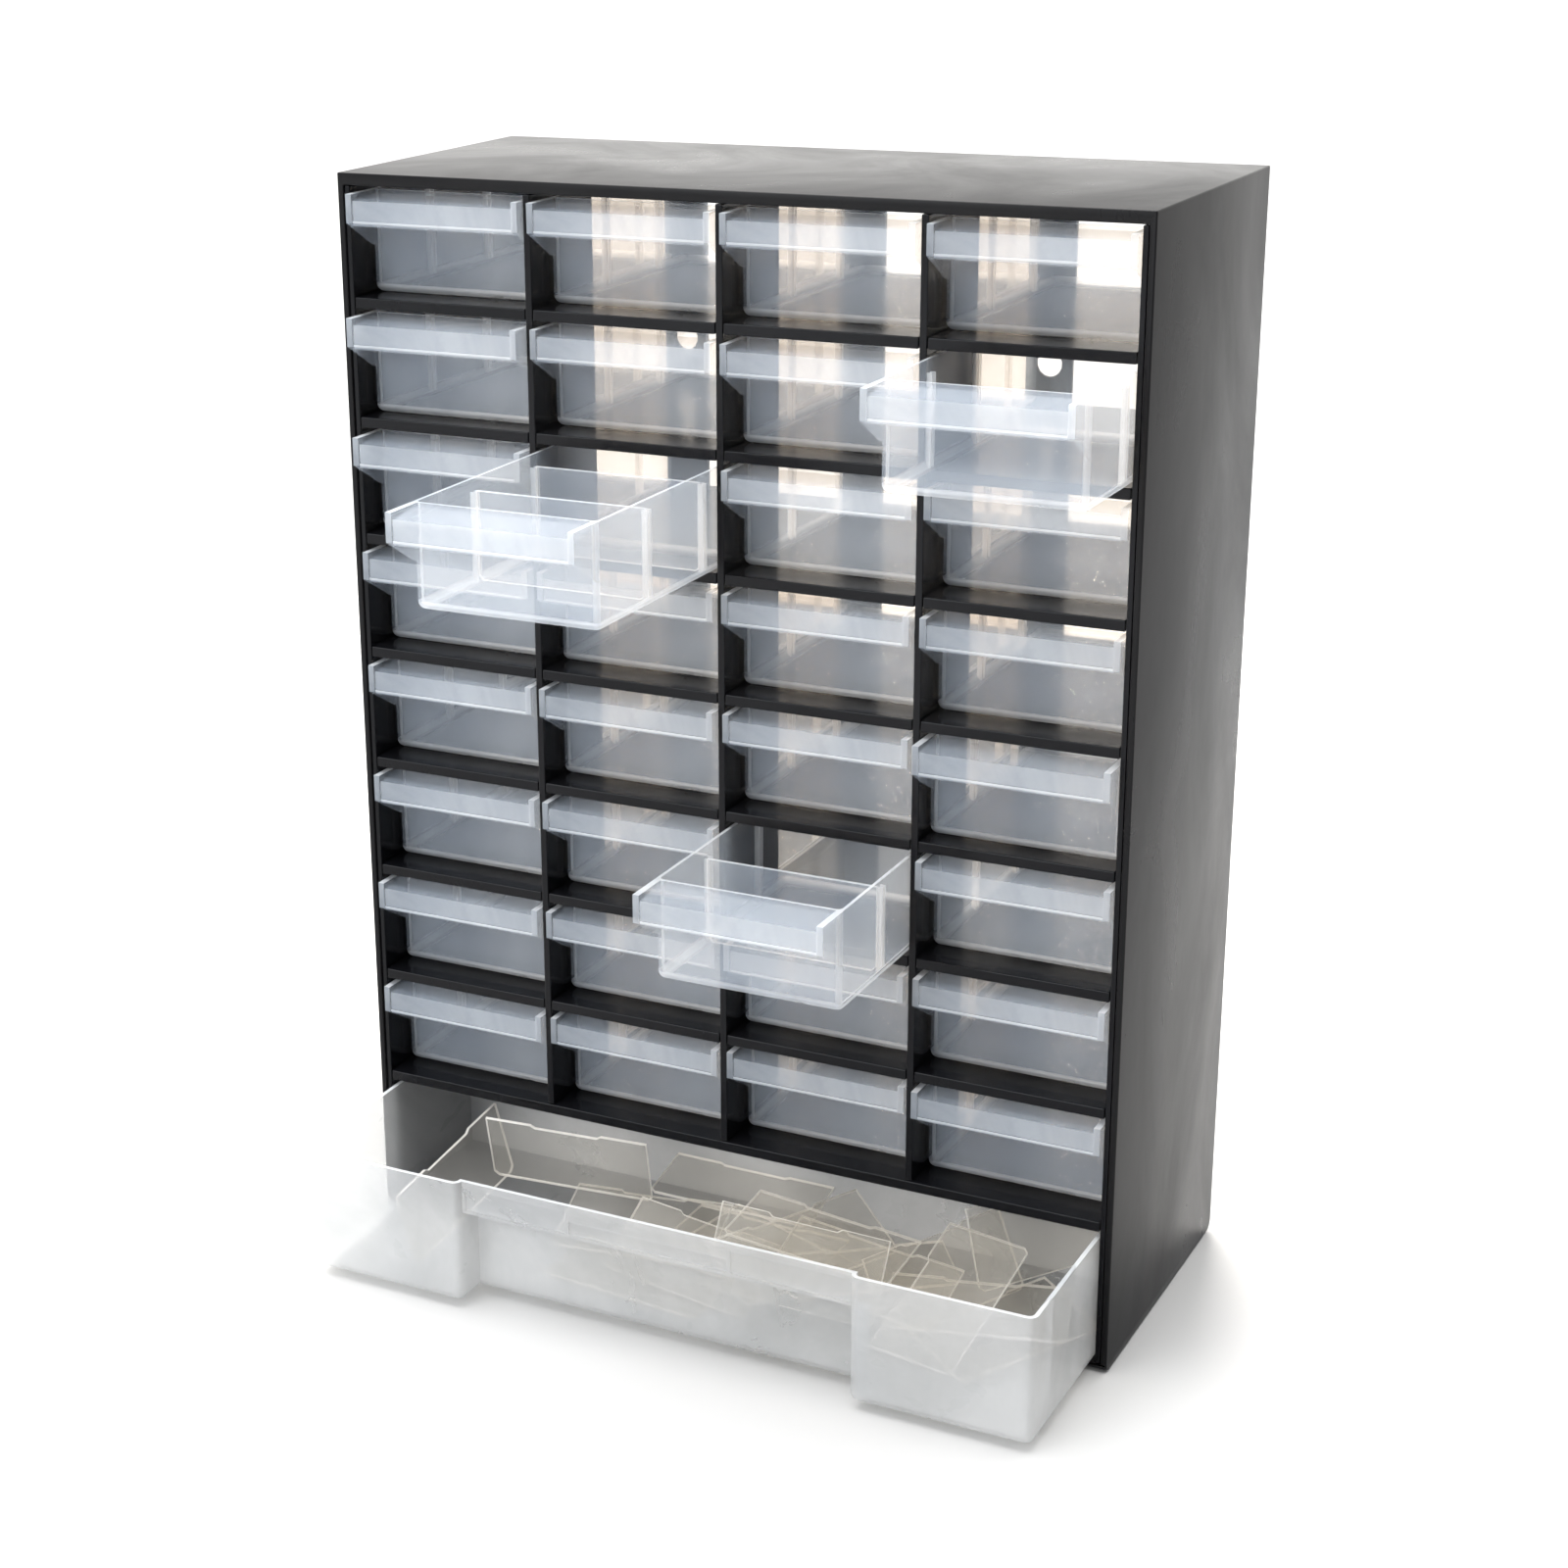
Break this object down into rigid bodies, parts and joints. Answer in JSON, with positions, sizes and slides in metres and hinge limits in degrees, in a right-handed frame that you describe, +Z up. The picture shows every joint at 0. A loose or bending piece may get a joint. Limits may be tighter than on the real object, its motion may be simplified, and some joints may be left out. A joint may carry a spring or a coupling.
{
  "type": "parts organizer",
  "caption": "Black cabinet with a grid of small translucent sliding drawers above one full-width drawer, with fitted and loose divider plates and keyholes for hanging on a wall.",
  "frame": {"origin": "middle of the flat underside that the cabinet stands on", "axes": "+Z up, +X to the right seen from the front, drawers pull out along -Y"},
  "size_m": [0.3068, 0.2282, 0.415],
  "materials": {
    "casing": "satin black moulded plastic, faint mottle",
    "rack": "glossy black moulded plastic",
    "drawer": "milky translucent polypropylene, bluish white",
    "divider": "clear plastic plate, faint beige"
  },
  "bodies": {
    "cabinet": {"casing": "casing", "side_rack_left": "rack", "side_rack_right": "rack", "shelf_1": "rack", "shelf_2": "rack", "shelf_3": "rack", "shelf_4": "rack", "shelf_5": "rack", "shelf_6": "rack", "shelf_7": "rack", "shelf_8": "rack", "upright_1": "rack", "upright_2": "rack", "upright_3": "rack", "back_strip_1": "rack", "back_strip_2": "rack", "back_strip_3": "rack"},
    "drawer_r1c1": {"drawer_r1c1": "drawer"},
    "drawer_r1c2": {"drawer_r1c2": "drawer"},
    "drawer_r1c3": {"drawer_r1c3": "drawer"},
    "drawer_r1c4": {"drawer_r1c4": "drawer"},
    "drawer_r2c1": {"drawer_r2c1": "drawer"},
    "drawer_r2c2": {"drawer_r2c2": "drawer"},
    "drawer_r2c3": {"drawer_r2c3": "drawer"},
    "drawer_r2c4": {"drawer_r2c4": "drawer"},
    "drawer_r3c1": {"drawer_r3c1": "drawer"},
    "drawer_r3c2": {"drawer_r3c2": "drawer", "divider_r3c2_1": "divider", "divider_r3c2_2": "divider"},
    "drawer_r3c3": {"drawer_r3c3": "drawer"},
    "drawer_r3c4": {"drawer_r3c4": "drawer"},
    "drawer_r4c1": {"drawer_r4c1": "drawer"},
    "drawer_r4c2": {"drawer_r4c2": "drawer"},
    "drawer_r4c3": {"drawer_r4c3": "drawer"},
    "drawer_r4c4": {"drawer_r4c4": "drawer"},
    "drawer_r5c1": {"drawer_r5c1": "drawer"},
    "drawer_r5c2": {"drawer_r5c2": "drawer"},
    "drawer_r5c3": {"drawer_r5c3": "drawer"},
    "drawer_r5c4": {"drawer_r5c4": "drawer"},
    "drawer_r6c1": {"drawer_r6c1": "drawer"},
    "drawer_r6c2": {"drawer_r6c2": "drawer"},
    "drawer_r6c3": {"drawer_r6c3": "drawer", "divider_r6c3_1": "divider"},
    "drawer_r6c4": {"drawer_r6c4": "drawer"},
    "drawer_r7c1": {"drawer_r7c1": "drawer"},
    "drawer_r7c2": {"drawer_r7c2": "drawer"},
    "drawer_r7c3": {"drawer_r7c3": "drawer"},
    "drawer_r7c4": {"drawer_r7c4": "drawer"},
    "drawer_r8c1": {"drawer_r8c1": "drawer"},
    "drawer_r8c2": {"drawer_r8c2": "drawer"},
    "drawer_r8c3": {"drawer_r8c3": "drawer"},
    "drawer_r8c4": {"drawer_r8c4": "drawer"},
    "drawer_wide": {"drawer_wide": "drawer", "loose_divider_1": "divider", "loose_divider_2": "divider", "loose_divider_3": "divider", "loose_divider_4": "divider", "loose_divider_5": "divider", "loose_divider_6": "divider", "loose_divider_7": "divider"}
  },
  "joints": [
    {"name": "slide_r1c1", "type": "slide", "parent": "cabinet", "child": "drawer_r1c1", "axis": [0, -1, 0], "range_m": [-0.005, 0.105]},
    {"name": "slide_r1c2", "type": "slide", "parent": "cabinet", "child": "drawer_r1c2", "axis": [0, -1, 0], "range_m": [-0.0046, 0.1054]},
    {"name": "slide_r1c3", "type": "slide", "parent": "cabinet", "child": "drawer_r1c3", "axis": [0, -1, 0], "range_m": [-0.0048, 0.1052]},
    {"name": "slide_r1c4", "type": "slide", "parent": "cabinet", "child": "drawer_r1c4", "axis": [0, -1, 0], "range_m": [-0.0044, 0.1056]},
    {"name": "slide_r2c1", "type": "slide", "parent": "cabinet", "child": "drawer_r2c1", "axis": [0, -1, 0], "range_m": [-0.0083, 0.1017]},
    {"name": "slide_r2c2", "type": "slide", "parent": "cabinet", "child": "drawer_r2c2", "axis": [0, -1, 0], "range_m": [-0.0046, 0.1054]},
    {"name": "slide_r2c3", "type": "slide", "parent": "cabinet", "child": "drawer_r2c3", "axis": [0, -1, 0], "range_m": [-0.005, 0.105]},
    {"name": "slide_r2c4", "type": "slide", "parent": "cabinet", "child": "drawer_r2c4", "axis": [0, -1, 0], "range_m": [-0.0579, 0.0521]},
    {"name": "slide_r3c1", "type": "slide", "parent": "cabinet", "child": "drawer_r3c1", "axis": [0, -1, 0], "range_m": [-0.008, 0.102]},
    {"name": "slide_r3c2", "type": "slide", "parent": "cabinet", "child": "drawer_r3c2", "axis": [0, -1, 0], "range_m": [-0.1038, 0.0062]},
    {"name": "slide_r3c3", "type": "slide", "parent": "cabinet", "child": "drawer_r3c3", "axis": [0, -1, 0], "range_m": [-0.0045, 0.1055]},
    {"name": "slide_r3c4", "type": "slide", "parent": "cabinet", "child": "drawer_r3c4", "axis": [0, -1, 0], "range_m": [-0.0026, 0.1074]},
    {"name": "slide_r4c1", "type": "slide", "parent": "cabinet", "child": "drawer_r4c1", "axis": [0, -1, 0], "range_m": [-0.005, 0.105]},
    {"name": "slide_r4c2", "type": "slide", "parent": "cabinet", "child": "drawer_r4c2", "axis": [0, -1, 0], "range_m": [-0.0044, 0.1056]},
    {"name": "slide_r4c3", "type": "slide", "parent": "cabinet", "child": "drawer_r4c3", "axis": [0, -1, 0], "range_m": [-0.005, 0.105]},
    {"name": "slide_r4c4", "type": "slide", "parent": "cabinet", "child": "drawer_r4c4", "axis": [0, -1, 0], "range_m": [-0.0046, 0.1054]},
    {"name": "slide_r5c1", "type": "slide", "parent": "cabinet", "child": "drawer_r5c1", "axis": [0, -1, 0], "range_m": [-0.0048, 0.1052]},
    {"name": "slide_r5c2", "type": "slide", "parent": "cabinet", "child": "drawer_r5c2", "axis": [0, -1, 0], "range_m": [-0.0051, 0.1049]},
    {"name": "slide_r5c3", "type": "slide", "parent": "cabinet", "child": "drawer_r5c3", "axis": [0, -1, 0], "range_m": [-0.0045, 0.1055]},
    {"name": "slide_r5c4", "type": "slide", "parent": "cabinet", "child": "drawer_r5c4", "axis": [0, -1, 0], "range_m": [-0.0094, 0.1006]},
    {"name": "slide_r6c1", "type": "slide", "parent": "cabinet", "child": "drawer_r6c1", "axis": [0, -1, 0], "range_m": [-0.0046, 0.1054]},
    {"name": "slide_r6c2", "type": "slide", "parent": "cabinet", "child": "drawer_r6c2", "axis": [0, -1, 0], "range_m": [-0.005, 0.105]},
    {"name": "slide_r6c3", "type": "slide", "parent": "cabinet", "child": "drawer_r6c3", "axis": [0, -1, 0], "range_m": [-0.0752, 0.0348]},
    {"name": "slide_r6c4", "type": "slide", "parent": "cabinet", "child": "drawer_r6c4", "axis": [0, -1, 0], "range_m": [-0.0045, 0.1055]},
    {"name": "slide_r7c1", "type": "slide", "parent": "cabinet", "child": "drawer_r7c1", "axis": [0, -1, 0], "range_m": [-0.005, 0.105]},
    {"name": "slide_r7c2", "type": "slide", "parent": "cabinet", "child": "drawer_r7c2", "axis": [0, -1, 0], "range_m": [-0.0045, 0.1055]},
    {"name": "slide_r7c3", "type": "slide", "parent": "cabinet", "child": "drawer_r7c3", "axis": [0, -1, 0], "range_m": [-0.0048, 0.1052]},
    {"name": "slide_r7c4", "type": "slide", "parent": "cabinet", "child": "drawer_r7c4", "axis": [0, -1, 0], "range_m": [-0.005, 0.105]},
    {"name": "slide_r8c1", "type": "slide", "parent": "cabinet", "child": "drawer_r8c1", "axis": [0, -1, 0], "range_m": [-0.0045, 0.1055]},
    {"name": "slide_r8c2", "type": "slide", "parent": "cabinet", "child": "drawer_r8c2", "axis": [0, -1, 0], "range_m": [-0.0032, 0.1068]},
    {"name": "slide_r8c3", "type": "slide", "parent": "cabinet", "child": "drawer_r8c3", "axis": [0, -1, 0], "range_m": [-0.0024, 0.1076]},
    {"name": "slide_r8c4", "type": "slide", "parent": "cabinet", "child": "drawer_r8c4", "axis": [0, -1, 0], "range_m": [-0.0046, 0.1054]},
    {"name": "slide_wide", "type": "slide", "parent": "cabinet", "child": "drawer_wide", "axis": [0, -1, 0], "range_m": [-0.0655, 0.0445]}
  ]
}
